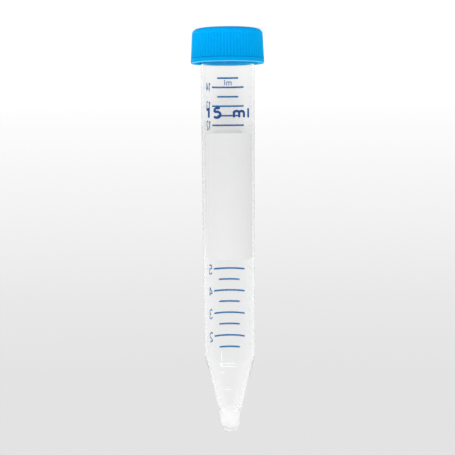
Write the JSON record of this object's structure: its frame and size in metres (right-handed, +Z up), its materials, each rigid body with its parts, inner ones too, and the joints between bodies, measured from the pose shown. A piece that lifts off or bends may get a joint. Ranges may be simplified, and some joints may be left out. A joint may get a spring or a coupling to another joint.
{
  "type": "conical tube with screw cap",
  "caption": "Clear conical-bottom laboratory tube with printed volume scale, writing patch and ribbed blue screw cap, standing on its cap.",
  "frame": {"origin": "centre of the cap's flat top, which the part stands on", "axes": "+Z up along the tube towards the tip of its cone, -Y the side with the white writing patch, +Y the side with the volume scale"},
  "size_m": [0.0216, 0.0216, 0.12],
  "materials": {
    "clear_plastic": "gloss",
    "blue_plastic": "satin"
  },
  "bodies": {
    "cap": {"screw_cap": "blue_plastic"},
    "tube": {"tube": "clear_plastic"}
  },
  "joints": [
    {"name": "cap_lift", "type": "slide", "parent": "cap", "child": "tube", "axis": [0, 0, 1], "range_m": [0, 0.025]}
  ]
}
